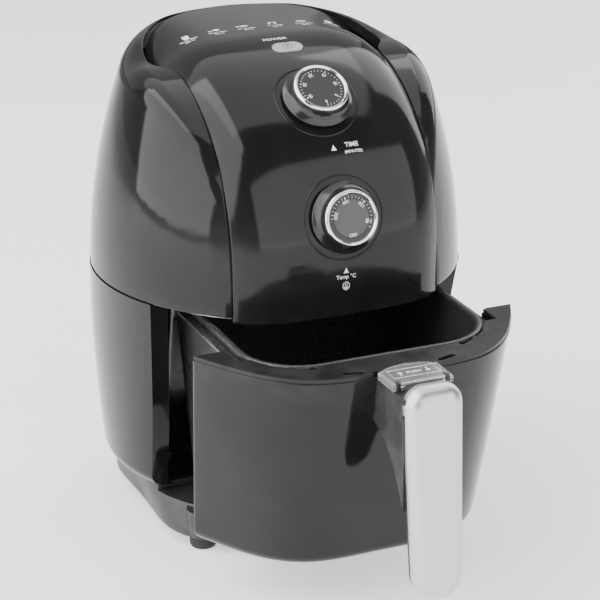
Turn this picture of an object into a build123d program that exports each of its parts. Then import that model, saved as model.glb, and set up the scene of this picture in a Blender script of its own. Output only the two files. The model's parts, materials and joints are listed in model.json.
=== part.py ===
from build123d import *
import math
import os

# Compact hot-air fryer: round body, control panel over the front and top, pull-out drawer
# with pan and basket. Millimetres, +Z up, front of the machine towards -Y.
# The sub-parts are drawn about the body's own axis with the drawer shut. frame_shift then
# moves everything so that the origin is on the floor at the middle of the stored pose,
# and drawer_open moves the drawer assembly out to the stored pose.

# ---- driving dimensions ---------------------------------------------------------------
frame_shift = 53.5
drawer_open = 66.0
wall = 3.0

# casing: round at every height
seam_z = 155.6
seam_gap = 0.6
lower_floor_z = 30.0
lower_radii = (98.9, 101.6, 104.0, 106.2, 108.0, 109.4)
lower_shifts = (15.0, 14.4, 12.6, 9.6, 5.4, 0.0)
lower_round = 9.0
dome_top_z = 289.1
dome_radii = (108.9, 107.0, 101.7, 93.0, 80.5)
dome_shifts = (0.0, 0.1, 0.5, 1.6, 4.0)
dome_round = 16.0
shoulder_round = 14.0

# control panel: vertical front, then an arc over to a level top
panel_front_y = -102.0
panel_bottom_z = 152.6
arc_y = 6.0
arc_z = 181.0
arc_r = arc_y - panel_front_y
panel_half_width = 62.0
panel_skin = 2.6
crown = ((0.0, 0.0), (22.0, 0.5), (40.0, 2.2), (52.0, 6.0), (62.0, 13.0), (72.0, 22.5))
shoulder_drop = 12.5
rim_centre_y = 8.0
panel_rear_r = 66.5
groove_outer_r = 72.0
part_line_gap = 0.35

# controls: height on the arc as an angle above level
temp_angle = 14.9
time_angle = 51.8
lamp_angle = 75.7
knob_base_r = 20.0
knob_ring_r = 15.3
knob_height = 12.0
shaft_r = 3.0

# front opening: leans back towards the floor
opening_top_y = -51.0
opening_slope = 0.1976
opening_floor_z = 26.0
sill_thick = 2.4
shell_split_y = 54.0
drawer_gap = 1.0

# drawer front: plan at its top edge, and how it draws in towards the floor
drawer_front_y = -111.0
drawer_lean = 0.168
drawer_bow = 0.00045
drawer_tip_x = 96.4
drawer_tip_taper = 0.062
drawer_low_z = 27.0
drawer_round = 8.0
front_fractions = ((1.0, 0.0), (0.87, 0.37), (0.69, 0.74), (0.5, 0.93), (0.0, 1.0))
skin_top_z = 147.0
rim_top_z = 149.4

# pan and basket
pan_half = 72.5
pan_front_y = -89.0
pan_back_y = 71.0
pan_bottom_z = 36.0
pan_top_z = 146.6
pan_corner = 36.0
basket_gap = 3.0
basket_bottom_z = 50.0

# handle
grip_tilt = 5.6
grip_top_width = 32.6
grip_low_width = 28.4
grip_length = 119.5
grip_mid_z = 95.0
grip_front_y = -156.5
cover_depth = 11.0
cover_round = 9.5
cover_wall = 3.0
cover_hollow = 5.2
backing_depth = 5.0
neck_half = 16.5
neck_top_z = 147.0
screw_heights = (125.5, 134.5)
guard_half = 17.5
guard_front_y = -132.0
guard_back_y = -108.0
guard_height = 4.3
hinge_y = -130.6
hinge_z = 150.4
button_y = -119.5

# pedestal: feet and the screws that hold it to the casing
foot_places = ((-68.0, -52.0), (68.0, -52.0), (-60.0, 64.0), (60.0, 64.0))
screw_places = ((-66.0, 10.0), (66.0, 10.0), (-30.0, 70.0), (30.0, 70.0))

# back of the machine: mains inlet and air outlet
inlet_z = 62.0
inlet_back_y = 116.2
vent_low = 188.0
vent_high = 232.0
vent_half = 34.0

# heating and air
air_y = -6.0
shield_r = 74.0
element_z = 161.5
element_leg_y = 55.2
fan_z = 170.0
shield_top = 185.0
motor_bottom_z = 192.0
shaft_radius = 2.5

# boxes and cylinders that stand on the place they are given
standing = (Align.CENTER, Align.CENTER, Align.MIN)

os.makedirs("parts", exist_ok=True)


# ---- helpers --------------------------------------------------------------------------
def round_stack(radii, shifts, low, high, inset=0.0):
    """Solid through level discs at equal steps of height."""
    step = (high - low) / (len(radii) - 1)
    discs = []
    for k, (radius, back) in enumerate(zip(radii, shifts)):
        discs.append(Pos(0, back, low + k * step) * Rot(0, 0, 90) * Circle(radius - inset))
    return loft(discs)


def lower_block(inset=0.0):
    block = round_stack(lower_radii, lower_shifts, lower_floor_z, seam_z - seam_gap / 2, inset)
    return fillet(block.faces().sort_by(Axis.Z)[0].edges(), lower_round - inset / 2)


def dome_block(inset=0.0):
    block = round_stack(dome_radii, dome_shifts, seam_z + seam_gap / 2, dome_top_z - inset, inset)
    return fillet(block.faces().sort_by(Axis.Z)[-1].edges(), dome_round - inset)


def side_profile(points_or_edges, half_width):
    """Prism across the machine from edges drawn in the (y, z) plane."""
    face = make_face(Plane.YZ * points_or_edges)
    return extrude(face, amount=half_width, both=True)


def crown_face(drop_scale=1.0, inset=0.0, reach=arc_r):
    """Section of the panel: crowned edge at +reach, flat edge on the arc's axis."""
    edge = []
    for x, drop in crown:
        edge.append((x, reach - inset - drop * drop_scale))
    left = [(-x, y) for x, y in reversed(edge[1:])]
    curve = Spline(left + edge)
    closing = Polyline(edge[-1], (edge[-1][0], 0), (-edge[-1][0], 0), left[0])
    return make_face(curve + closing)


def panel_core(inset):
    """Everything under the panel's outer surface, pushed in by inset."""
    flat = Plane(origin=(0, arc_y, arc_z), x_dir=(-1, 0, 0), z_dir=(0, 0, 1))
    level = flat * crown_face(1.0, inset)
    front = extrude(level, amount=-(arc_z - panel_bottom_z))
    quarter = revolve(level, Axis((0, arc_y, arc_z), (-1, 0, 0)), 90)
    sections = []
    for y, scale in ((arc_y, 1.0), (arc_y + 14, 0.96), (arc_y + 40, 0.62), (arc_y + 80, 0.3)):
        upright = Plane(origin=(0, y, arc_z), x_dir=(1, 0, 0), z_dir=(0, -1, 0))
        sections.append(upright * crown_face(scale, inset))
    rear = loft(sections)
    return front + quarter + rear


def panel_outline(half_width, rear_r, z_low, z_high):
    """Prism with the panel's plan outline: straight sides, round back."""
    side_y = rim_centre_y - 22
    bulge = (rear_r * 0.985, rim_centre_y - 2)
    back = ThreePointArc((rear_r, rim_centre_y + 6), (0, rim_centre_y + rear_r), (-rear_r, rim_centre_y + 6))
    right = Spline((half_width, side_y), bulge, (rear_r, rim_centre_y + 6),
                   tangents=((0, 1), (0, 1)))
    left = mirror(right, about=Plane.YZ)
    front = Polyline((half_width, side_y), (half_width, -130), (-half_width, -130), (-half_width, side_y))
    face = make_face(back + right + left + front)
    return extrude(Pos(0, 0, z_low) * face, amount=z_high - z_low)


def opening_y(z):
    """Plane of the front opening."""
    return opening_top_y + (seam_z - z) * opening_slope


def drawer_section(z, inset=0.0, tip_shift=0.0):
    """Plan of the drawer front at height z, closed by a straight line between the wing tips."""
    below = skin_top_z - z
    tip_x = drawer_tip_x - drawer_tip_taper * below - inset
    tip_y = opening_y(z) - drawer_gap - tip_shift
    front_y = drawer_front_y + drawer_lean * below + drawer_bow * below ** 2 + inset
    half = [(tip_x * fx, tip_y + (front_y - tip_y) * fy) for fx, fy in front_fractions]
    curve = Spline([(-x, y) for x, y in half] + [(x, y) for x, y in reversed(half[:-1])],
                   tangents=((0.45, -0.89), (0.45, 0.89)))
    return Pos(0, 0, z) * make_face(curve + Line(half[0], (-half[0][0], half[0][1])))


def drawer_block(inset=0.0, low=drawer_low_z, high=skin_top_z, tip_shift=0.0):
    heights = [low + (high - low) * step / 4 for step in range(5)]
    block = loft([drawer_section(z, inset, tip_shift) for z in heights])
    foot = block.faces().sort_by(Axis.Z)[0].edges().sort_by(SortBy.LENGTH)[-1]
    return fillet(foot, drawer_round - inset)


def arc_plane(angle, depth=0.0):
    """Plane on the panel's centre line, facing out, at an angle above level."""
    a = math.radians(angle)
    normal = (0, -math.cos(a), math.sin(a))
    reach = arc_r - depth
    return Plane(origin=(0, arc_y + reach * normal[1], arc_z + reach * normal[2]),
                 x_dir=(1, 0, 0), z_dir=normal)


def turned(points, axis=Axis.Z):
    """Solid of revolution from (r, z) points."""
    face = make_face(Plane.XZ * Polyline(*points, close=True))
    return revolve(face, axis)


def tray(half_x, front_y, back_y, corner, bottom_z, top_z, taper_x, taper_front, taper_back, inset=0.0):
    """Solid block with rounded corners that narrows towards the bottom."""
    faces = []
    for z, t in ((bottom_z, 1.0), (top_z, 0.0)):
        hx = half_x - taper_x * t - inset
        fy = front_y + taper_front * t + inset
        by = back_y - taper_back * t - inset
        faces.append(Pos(0, (fy + by) / 2, z) * RectangleRounded(2 * hx, by - fy, corner - inset))
    return loft(faces, ruled=True)


def screw(head_r, head_h, shank_r, length):
    """Pan-head screw, head up, head's underside at z=0."""
    head = Cylinder(head_r, head_h, align=standing)
    head = fillet(head.edges().sort_by(Axis.Z)[-1], head_h * 0.45)
    shank = Pos(0, 0, -length) * Cylinder(shank_r, length, align=standing)
    slot_depth = head_h * 0.55
    slot = Box(head_r * 1.1, head_r * 0.24, slot_depth) + Box(head_r * 0.24, head_r * 1.1, slot_depth)
    return head + shank - Pos(0, 0, head_h - slot_depth / 2 + 0.01) * slot


# ---- outer casing ---------------------------------------------------------------------
def shoulder_block(inset):
    """Room under the shoulders: straight front, arc, then a rise to the rim at the back."""
    low = arc_r - shoulder_drop - inset
    front_y = arc_y - low
    start = (front_y, 150)
    slant = low * math.sqrt(0.5)
    rim_y = arc_y + 62
    rim_z = 290 - inset
    path = Line(start, (front_y, arc_z))
    path += ThreePointArc((front_y, arc_z), (arc_y - slant, arc_z + slant), (arc_y, arc_z + low))
    path += Spline((arc_y, arc_z + low), (arc_y + 30, arc_z + low + 6.5), (rim_y, rim_z),
                   tangents=((1, 0.02), (1, 0.25)))
    path += Polyline((rim_y, rim_z), (130, rim_z + 2), (130, 150), start)
    return side_profile(path, 130)


def make_upper_housing():
    outer = dome_block() & shoulder_block(0)
    shoulder = [e for e in outer.edges() if 140 < e.length < 170]
    outer = fillet(shoulder, shoulder_round)
    shell = outer - (dome_block(wall) & shoulder_block(wall + 4.5))
    shell = shell - panel_outline(panel_half_width + part_line_gap, groove_outer_r, 140, 300)
    ledge = panel_core(panel_skin + 0.3) - panel_core(panel_skin + 2.6)
    ledge = ledge & panel_outline(panel_half_width + 4, groove_outer_r + 2, 157, 300)
    ledge = ledge - panel_outline(panel_half_width - 5, panel_rear_r - 5, 140, 300)
    return shell, ledge


def make_control_panel():
    skin = panel_core(0) - panel_core(panel_skin)
    skin = skin & panel_outline(panel_half_width, panel_rear_r, 140, 300)
    for angle, radius in ((temp_angle, 5.0), (time_angle, 5.0)):
        skin -= arc_plane(angle) * Cylinder(radius, 30)
    window = arc_plane(lamp_angle) * extrude(SlotOverall(18.6, 10.6), amount=20, both=True)
    return skin - window


def make_lower_housing():
    """One moulding, kept as four touching solids so that each follows the thin wall closely."""
    outer = lower_block()
    shell = outer - lower_block(wall)
    jamb = outer - lower_block(9.0)
    front = ((-200, opening_floor_z), (opening_y(opening_floor_z), opening_floor_z),
             (opening_y(160), 160), (-200, 160))
    mouth = side_profile(Polyline(*front, close=True), 150)
    depth = 6.5
    strip = ((opening_y(20), 20), (opening_y(160), 160),
             (opening_y(160) + depth, 160), (opening_y(20) + depth, 20))
    shell += jamb & side_profile(Polyline(*strip, close=True), 150)
    shell -= mouth
    shell -= Pos(0, 100, inlet_z) * Rot(90, 0, 0) * Cylinder(8.0, 60)
    quarters = []
    for x in (-150, 150):
        quarters.append(shell & Pos(x, shell_split_y - 150, 90) * Box(300, 300, 200))
        quarters.append(shell & Pos(x, shell_split_y + 150, 90) * Box(300, 300, 200))
    return quarters


def rounded_square(half_x, half_y, centre_y, power, z):
    """Plan between a circle (power 2) and a square, as a closed smooth curve."""
    points = []
    for step in range(16):
        a = 2 * math.pi * (step + 0.5) / 16
        c, s = math.cos(a), math.sin(a)
        reach = (abs(c / half_x) ** power + abs(s / half_y) ** power) ** (-1 / power)
        points.append((reach * c, centre_y + reach * s))
    return Pos(0, 0, z) * make_face(Spline(*points, periodic=True))


def make_base(screws):
    """Pedestal: flares from a rounded square on the floor up to the round casing."""
    sections = [rounded_square(85.0, 83.0, 8.0, 4.4, 8.0), rounded_square(85.6, 83.6, 9.0, 4.0, 13.0),
                rounded_square(87.2, 85.6, 12.0, 3.0, 21.0), rounded_square(91.0, 91.0, 15.0, 2.2, 29.8)]
    block = loft(sections)
    hollow = loft([rounded_square(81.0, 79.0, 8.0, 4.4, 7.9), rounded_square(83.4, 81.6, 12.0, 3.0, 21.0),
                   rounded_square(85.0, 84.0, 13.0, 2.5, 26.0)])
    base = block - hollow
    apron_top = opening_floor_z - 0.8
    sill_back = opening_y(apron_top) + 6
    base += block & Pos(0, sill_back - 100, apron_top - sill_thick) * Box(300, 200, sill_thick, align=standing)
    clear = side_profile(Polyline((-200, apron_top), (opening_y(apron_top) + 3, apron_top),
                                  (opening_y(apron_top) + 3, 60), (-200, 60), close=True), 150)
    base -= clear
    for x, y in foot_places:
        boss_top = apron_top - sill_thick / 2 if y < 0 else 26.5
        base += Pos(x, y, 8) * Cylinder(9.5, boss_top - 8, align=standing)
        base -= Pos(x, y, 0) * Cylinder(2.2, 40)
        base -= Pos(x, y, 7.9) * Cylinder(6.1, 3.1, align=standing)
    for slot in range(-3, 4):
        base -= Pos(slot * 10, 20, 20) * Box(4, 60, 30)
    return base - Compound(screws)


def make_feet():
    body = turned(((0, 0), (6.4, 0), (7.4, 0.6), (8.0, 2.0), (8.0, 7.9), (6.0, 8.0), (6.0, 10.8), (0, 10.8)))
    return [Pos(x, y, 0) * body for x, y in foot_places]


# ---- drawer ---------------------------------------------------------------------------
def make_drawer_front():
    outer = drawer_block()
    skin = outer - drawer_block(wall, drawer_low_z + wall, skin_top_z + 1, wall)
    passage = tray(78.0, -200, 100, 6.0, 32.0, 148.0, 9.0, 0, 0)
    skin -= passage & Pos(0, 30, 100) * Box(400, 170, 200)
    return skin - Compound(make_handle_screws())


def make_drawer_rim():
    outer = extrude(drawer_section(skin_top_z, 0.4), amount=rim_top_z - skin_top_z)
    lip = extrude(drawer_section(skin_top_z, wall + 1.3, wall + 1.6), amount=-2.2)
    lip -= extrude(drawer_section(skin_top_z, wall + 3.0, wall + 3.2), amount=-2.2)
    centre_cut = Pos(0, (pan_front_y + pan_back_y) / 2, 140)
    opening = RectangleRounded(2 * pan_half + 0.8, pan_back_y - pan_front_y + 0.8, pan_corner)
    opening = extrude(centre_cut * opening, amount=20)
    gaps = Pos(0, -36, 145) * Box(2 * (pan_half + 5.5), 62, 20)
    rim = outer + lip - opening - gaps
    guard_room = Box(2 * guard_half + 1, 2 * (112 + guard_back_y) + 1, 10, align=standing)
    rim -= Pos(0, -112, skin_top_z - 0.2) * guard_room
    for side in (-1, 1):
        for a_start, reach in ((24, 88), (50, 92), (74, 99)):
            for part_angle in range(2):
                angle = math.radians(a_start + 9 * part_angle)
                x = side * math.cos(angle) * reach
                y = -math.sin(angle) * reach - 10
                turn = math.degrees(math.atan2(math.cos(angle), math.sin(angle))) * side
                if abs(x) > 14:
                    rim -= Pos(x, y, rim_top_z) * Rot(0, 0, turn) * extrude(SlotOverall(12, 3.2), amount=-6)
    return rim


def make_pan():
    outer = tray(pan_half, pan_front_y, pan_back_y, pan_corner, pan_bottom_z, pan_top_z - 1.6, 8, 12, 4)
    inner = tray(pan_half, pan_front_y, pan_back_y, pan_corner, pan_bottom_z, pan_top_z, 8, 12, 4, 1.5)
    lift = Pos(0, 0, pan_bottom_z + 1.5) * Box(300, 300, 200, align=standing)
    pan = outer - (inner & lift)
    mid_y = (pan_front_y + pan_back_y) / 2
    length = pan_back_y - pan_front_y
    flange = RectangleRounded(2 * pan_half + 9, length + 3, pan_corner)
    flange -= RectangleRounded(2 * pan_half - 3, length - 3, pan_corner - 1.5)
    pan += extrude(Pos(0, mid_y, pan_top_z - 3.2) * flange, amount=1.6)
    for x in (-34, 0, 34):
        rib = Pos(x, -6, pan_bottom_z + 1.5) * Box(4, 100, 3, align=standing)
        pan += rib
    return pan


def make_basket():
    gap = basket_gap
    args = (pan_half - gap, pan_front_y + gap, pan_back_y - gap, pan_corner - gap,
            basket_bottom_z, pan_top_z - 1.0, 6.8, 11.0, 4.0)
    shell = tray(*args) - (tray(*args, 1.2) & Pos(0, 0, basket_bottom_z + 1.2)
                           * Box(300, 300, 200, align=standing))
    mid_y = (pan_front_y + pan_back_y) / 2 + 2
    holes = []
    pitch = 9.5
    for row in range(-7, 8):
        for column in range(-6, 7):
            x = column * pitch + (pitch / 2 if row % 2 else 0)
            y = row * pitch * 0.866
            if (abs(x) / 58) ** 3 + (abs(y) / 64) ** 3 < 1:
                holes.append(Pos(x, mid_y + y, basket_bottom_z) * Cylinder(2.4, 6))
    for side in (-1, 1):
        for row in range(2):
            for k in range(-4, 5):
                holes.append(Pos(side * pan_half, mid_y + k * 11, basket_bottom_z + 12 + 15 * row)
                             * Rot(0, 90, 0) * extrude(SlotOverall(9, 3.4), amount=20, both=True))
    for k in range(-3, 4):
        for face_y in (pan_front_y, pan_back_y):
            holes.append(Pos(k * 11, face_y, basket_bottom_z + 14)
                         * Rot(0, 90, 90) * extrude(SlotOverall(9, 3.4), amount=20, both=True))
    return shell - Compound(holes)


def make_basket_rim():
    """Rolled bead round the basket's mouth."""
    gap = basket_gap
    mid_y = (pan_front_y + pan_back_y) / 2
    length = pan_back_y - pan_front_y - 2 * gap
    bead = RectangleRounded(2 * (pan_half - gap) + 5.0, length + 5.0, pan_corner - gap + 2.5)
    bead -= RectangleRounded(2 * (pan_half - gap) - 2.6, length - 2.6, pan_corner - gap - 1.3)
    ring = extrude(Pos(0, mid_y, pan_top_z - 0.9) * bead, amount=3.6)
    top = ring.edges().filter_by(lambda e: e.center().Z > pan_top_z + 2.5)
    return fillet(top, 1.7)


# ---- handle ---------------------------------------------------------------------------
grip_plane = Plane(origin=(0, grip_front_y, grip_mid_z), x_dir=(1, 0, 0),
                   z_dir=(0, -math.cos(math.radians(grip_tilt)), math.sin(math.radians(grip_tilt))))


def grip_outline(inset):
    """Long plate: full round foot, softer round head."""
    w = grip_top_width / 2 - inset
    foot = grip_low_width / 2 - inset
    top = grip_length / 2 - inset
    low = -grip_length / 2 + inset
    head = 11.0 - inset
    s = math.sqrt(0.5)
    edges = Line((-w, top - head), (-foot, low + foot))
    edges += ThreePointArc((-foot, low + foot), (0, low), (foot, low + foot))
    edges += Line((foot, low + foot), (w, top - head))
    edges += ThreePointArc((w, top - head), (w - head + head * s, top - head + head * s), (w - head, top))
    edges += Line((w - head, top), (-w + head, top))
    edges += ThreePointArc((-w + head, top), (-w + head - head * s, top - head + head * s), (-w, top - head))
    return make_face(edges)


def make_handle_cover():
    plate = extrude(grip_outline(0), amount=-cover_depth)
    rim = plate.faces().sort_by(Axis.Z)[-1].edges()
    plate = fillet(rim, cover_round)
    hollow = extrude(Pos(0, 0, -cover_depth) * grip_outline(cover_wall), amount=cover_hollow)
    return grip_plane * (plate - hollow)


def make_handle_core():
    backing = extrude(Pos(0, 0, -cover_depth) * grip_outline(0.5), amount=-backing_depth)
    plug = extrude(Pos(0, 0, -cover_depth) * grip_outline(cover_wall + 0.3), amount=cover_hollow - 0.4)
    back_edges = backing.faces().sort_by(Axis.Z)[0].edges()
    backing = fillet(back_edges, 2.5)
    grip = grip_plane * (backing + plug)
    seat_y = grip_front_y + cover_depth + 2
    side = Line((-95, neck_top_z), (seat_y, neck_top_z))
    side += Line((seat_y, neck_top_z), (seat_y, 84))
    side += Spline((seat_y, 84), (seat_y + 9, 101), (seat_y + 20, 113), (-95, 122))
    side += Line((-95, 122), (-95, neck_top_z))
    neck = side_profile(side, neck_half)
    neck = neck - drawer_block(high=skin_top_z + 4)
    well = Pos(0, button_y, neck_top_z - 8) * Box(15.2, 11.2, 20, align=standing)
    neck = neck - well
    cover_room = grip_plane * extrude(grip_outline(-0.3), amount=-cover_depth)
    core = grip + (neck - cover_room)
    for side_x in (-1, 1):
        core += Pos(side_x * 14.2, hinge_y, neck_top_z) * Box(2.0, 3.2, 4.8, align=standing)
        core -= Pos(side_x * 14.2, hinge_y, hinge_z) * Rot(0, 90, 0) * Cylinder(0.8, 6)
    for z in screw_heights:
        core -= Pos(0, -120, z) * Rot(90, 0, 0) * Cylinder(1.6, 22)
    return core - Compound(make_handle_screws())


def make_handle_screws():
    shapes = []
    for z in screw_heights:
        shapes.append(Pos(0, -96.0, z) * Rot(-90, 0, 0) * screw(4.0, 2.4, 1.6, 30))
    return shapes


def guard_plan(inset):
    w = guard_half - inset
    edges = Line((-w, guard_back_y - 6), (-w, guard_front_y + inset))
    edges += Line((-w, guard_front_y + inset), (w, guard_front_y + inset))
    edges += Line((w, guard_front_y + inset), (w, guard_back_y - 6))
    edges += ThreePointArc((w, guard_back_y - 6), (0, guard_back_y - inset), (-w, guard_back_y - 6))
    return make_face(edges)


def make_button_guard():
    """Clear lid over the release button, with an arched back edge."""
    low = neck_top_z + 0.6
    body = extrude(Pos(0, 0, low) * guard_plan(0), amount=guard_height)
    top = body.faces().sort_by(Axis.Z)[-1].edges()
    body = fillet(top, 1.4)
    body -= extrude(Pos(0, 0, low - 0.1) * guard_plan(1.5), amount=guard_height - 1.4)
    slab = Pos(0, 0, low) * Box(40, 400, guard_height - 0.5, align=standing)
    for side_x in (-1, 1):
        lug = Pos(side_x * 11.4, hinge_y, hinge_z) * Rot(0, 90, 0) * Cylinder(1.5, 2.2)
        body += lug & slab
        body -= Pos(side_x * 14.2, hinge_y, low) * Box(3.0, 4.4, 20)
    body -= Pos(0, hinge_y, hinge_z) * Rot(0, 90, 0) * Cylinder(0.85, 60)
    return body


def make_guard_pin():
    return Pos(0, hinge_y, hinge_z) * Rot(0, 90, 0) * Cylinder(0.8, 30.4)


def make_release_button():
    cap = Box(14.4, 10.4, 4.1, align=standing)
    cap = fillet(cap.edges().filter_by(Axis.Z), 2.0)
    cap = fillet(cap.faces().sort_by(Axis.Z)[-1].edges(), 0.8)
    stem = Pos(0, 0, -2.2) * Cylinder(2.0, 2.4, align=standing)
    return Pos(0, button_y, neck_top_z - 3.6) * (cap + stem)


def make_button_spring():
    path = Helix(pitch=1.3, height=3.0, radius=3.0, center=(0, button_y, neck_top_z - 7.3))
    wire = Plane(origin=path @ 0, z_dir=path % 0) * Circle(0.35)
    return sweep(wire, path)


# ---- controls -------------------------------------------------------------------------
def make_knob(angle):
    """Flared black knob, its bright ring and the printed disc inside the ring."""
    place = arc_plane(angle)
    r0, r1, h = knob_base_r, knob_ring_r, knob_height
    outline = Polyline((shaft_r + 0.02, 0.9), (r0 - 1.0, 0.9))
    outline += ThreePointArc((r0 - 1.0, 0.9), (r0, 1.8), (r0 - 0.6, 2.8))
    outline += Spline((r0 - 0.6, 2.8), (r0 - 2.9, 5.0), (r1 + 0.4, h - 2.4),
                      tangents=((-0.8, 0.6), (-0.1, 1)))
    outline += Polyline((r1 + 0.4, h - 2.4), (r1 - 2.6, h - 2.4), (r1 - 2.6, h - 4.0),
                        (shaft_r + 0.02, h - 4.0), (shaft_r + 0.02, 0.9))
    body = revolve(make_face(Plane.XZ * outline), Axis.Z)
    ring = Polyline((r1 - 1.9, h - 2.4), (r1 + 0.3, h - 2.4))
    ring += ThreePointArc((r1 + 0.3, h - 2.4), (r1 - 0.1, h - 0.9), (r1 - 1.2, h - 0.4))
    ring += Polyline((r1 - 1.2, h - 0.4), (r1 - 1.9, h - 1.0), (r1 - 1.9, h - 2.4))
    ring = revolve(make_face(Plane.XZ * ring), Axis.Z)
    disc = turned(((0, h - 3.8), (r1 - 2.7, h - 3.8), (r1 - 2.7, h - 2.2),
                   (r1 - 2.0, h - 2.2), (r1 - 2.0, h - 1.7), (0, h - 1.7)))
    shaft = Pos(0, 0, -7.5) * Cylinder(shaft_r, h + 3.4, align=standing)
    return [place * shape for shape in (body, ring, disc, shaft)]


def make_timer():
    """Clockwork timer with its bell on the back."""
    place = arc_plane(time_angle)
    case = Pos(0, 0, -24) * Cylinder(19, 17, align=standing)
    case += Pos(0, 0, -7) * Box(46, 12, 1.2, align=standing)
    case -= Pos(0, 0, -8.6) * Cylinder(shaft_r + 0.05, 6)
    bell = turned(((0, -26.5), (2.0, -26.5), (2.0, -25.2), (15, -25.2), (17, -27.0), (17.6, -31.0),
                   (16.9, -31.0), (16.2, -27.6), (14.6, -26.1), (2.0, -26.1), (2.0, -29.0), (0, -29.0)))
    bell += Pos(0, 0, -26.5) * Cylinder(2.0, 2.5, align=standing)
    return place * case, place * bell


def make_thermostat():
    """Thermostat case behind the panel."""
    place = arc_plane(temp_angle)
    case = Pos(0, 0, -24) * Cylinder(15, 17, align=standing)
    case += Pos(0, 0, -7) * Box(38, 12, 1.2, align=standing)
    case -= Pos(0, 0, -8.6) * Cylinder(shaft_r + 0.05, 6)
    return place * case


def make_lamp():
    place = arc_plane(lamp_angle)
    lens = place * extrude(SlotOverall(18.2, 10.2), amount=-3.0)
    dome = extrude(SlotOverall(18.2, 10.2), amount=0.9)
    dome = place * fillet(dome.faces().sort_by(Axis.Z)[-1].edges(), 0.8)
    holder = place * (Pos(0, 0, -12) * Cylinder(5.0, 8.6, align=standing))
    holder -= place * (Pos(0, 0, -9) * Cylinder(3.1, 10, align=standing))
    tube = place * (Pos(0, 0, -8.9) * Cylinder(3.0, 5.2, align=standing))
    return lens + dome, holder, tube


# ---- heat and air ---------------------------------------------------------------------
def make_mid_deck():
    """Ceiling of the drawer bay: carries the heater and the blower."""
    disc = Pos(0, 0, 151.4) * Cylinder(105.6, 1.8, align=standing)
    disc -= Pos(0, -143.5, 150) * Box(300, 200, 10)
    disc += Pos(0, 0, 151.4) * Cylinder(99.0, 1.8, align=standing)
    disc -= Pos(0, -190, 150) * Box(300, 200, 10)
    disc -= Pos(0, air_y, 150) * Cylinder(shield_r - 6, 10)
    return disc


def make_heat_shield():
    r = shield_r
    top = shield_top
    points = ((r - 3, 153.3), (r + 4, 153.3), (r + 4, 154.1), (r, 154.1), (r, top - 4), (r - 6, top), (6, top),
              (6, top - 0.8), (r - 6.4, top - 0.8), (r - 0.8, top - 4.5), (r - 0.8, 154.1), (r - 3, 154.1))
    shield = Pos(0, air_y, 0) * turned(points)
    for x in (-9, 9):
        shield -= Pos(x, air_y - element_leg_y, top) * Cylinder(3.8, 10)
    return shield


def make_heating_element():
    """Sheathed element: two rings joined by a radial link, and two legs up through the shield."""
    outer_ring = Torus(56, 3.2)
    inner_ring = Torus(36, 3.2)
    link = Pos(0, 46, 0) * Rot(90, 0, 0) * Cylinder(3.2, 16)
    legs = Pos(-9, -element_leg_y, 0) * Cylinder(3.2, 30, align=standing)
    legs += Pos(9, -element_leg_y, 0) * Cylinder(3.2, 30, align=standing)
    gap = Pos(0, -56, 0) * Box(11, 12, 8)
    return Pos(0, air_y, element_z) * ((outer_ring - gap) + inner_ring + link + legs)


def make_element_guard():
    """Wire guard under the element: rings on four spokes."""
    wires = Torus(69.5, 1.0) + Torus(46, 1.0) + Torus(28, 1.0) + Torus(11, 1.0)
    for k in range(4):
        wires += Rot(0, 0, 45 * k) * Rot(90, 0, 0) * Cylinder(1.0, 139)
    return Pos(0, air_y, 154.3) * wires


def make_fan(radius, hub_r, height, blades, z, pitch):
    """Flat-backed blower wheel with upright blades."""
    plate = Cylinder(radius, 0.8, align=standing)
    hub = Cylinder(hub_r, height, align=standing)
    wheel = plate + hub
    for k in range(blades):
        blade = Box(radius - hub_r - 4, 0.8, height, align=standing)
        wheel += Rot(0, 0, 360 / blades * k) * Pos((radius + hub_r) / 2, 0, 0) * Rot(0, 0, pitch) * blade
    wheel -= Cylinder(shaft_radius, 60)
    return Pos(0, air_y, z) * wheel


def make_motor():
    z = motor_bottom_z
    can = Pos(0, air_y, z) * Cylinder(23, 28, align=standing)
    can = fillet(can.edges().filter_by(GeomType.CIRCLE), 3)
    can -= Pos(0, air_y, z) * Cylinder(shaft_radius + 0.05, 80)
    stack = Pos(0, air_y, z + 8) * Box(56, 30, 12, align=standing)
    stack -= Pos(0, air_y, z) * Cylinder(23.02, 80)
    bracket = Pos(0, air_y, z - 1.4) * Box(120, 18, 1.2, align=standing)
    bracket -= Pos(0, air_y, z) * Cylinder(6, 20)
    leg = Box(1.2, 18, z - shield_top - 0.6, align=standing)
    tab = Box(8, 18, 1.2, align=standing)
    for side_x in (-1, 1):
        bracket += Pos(side_x * 59.4, air_y, shield_top + 0.2) * leg
        bracket += Pos(side_x * 64, air_y, shield_top + 0.1) * tab
    return can, stack, bracket


def make_motor_shaft():
    return Pos(0, air_y, fan_z - 5) * Cylinder(shaft_radius, 72, align=standing)


def make_bay_liner():
    """Inner drawer bay: back and sides, with slide rails."""
    half = 80.0
    outer = Pos(0, 0, 31.0) * Box(2 * half, 2 * half, 120.2, align=standing)
    outer = fillet(outer.edges().filter_by(Axis.Z), 34)
    inner = Pos(0, 0, 30) * Box(2 * half - 3, 2 * half - 3, 140, align=standing)
    inner = fillet(inner.edges().filter_by(Axis.Z), 32.5)
    liner = outer - inner
    behind = ((opening_y(20) + 10, 20), (opening_y(160) + 10, 160), (100, 160), (100, 20))
    liner = liner & side_profile(Polyline(*behind, close=True), 150)
    for side_x in (-1, 1):
        liner += Pos(side_x * (half - 2.0), 3, 140.5) * Box(2.4, 78, 2.6, align=standing)
    return liner


# ---- back of the machine and small parts ----------------------------------------------
def vent_box(margin, depth=60):
    height = vent_high - vent_low - 2 * margin
    return Pos(0, 95, (vent_low + vent_high) / 2) * Box(2 * (vent_half - margin), depth, height)


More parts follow.
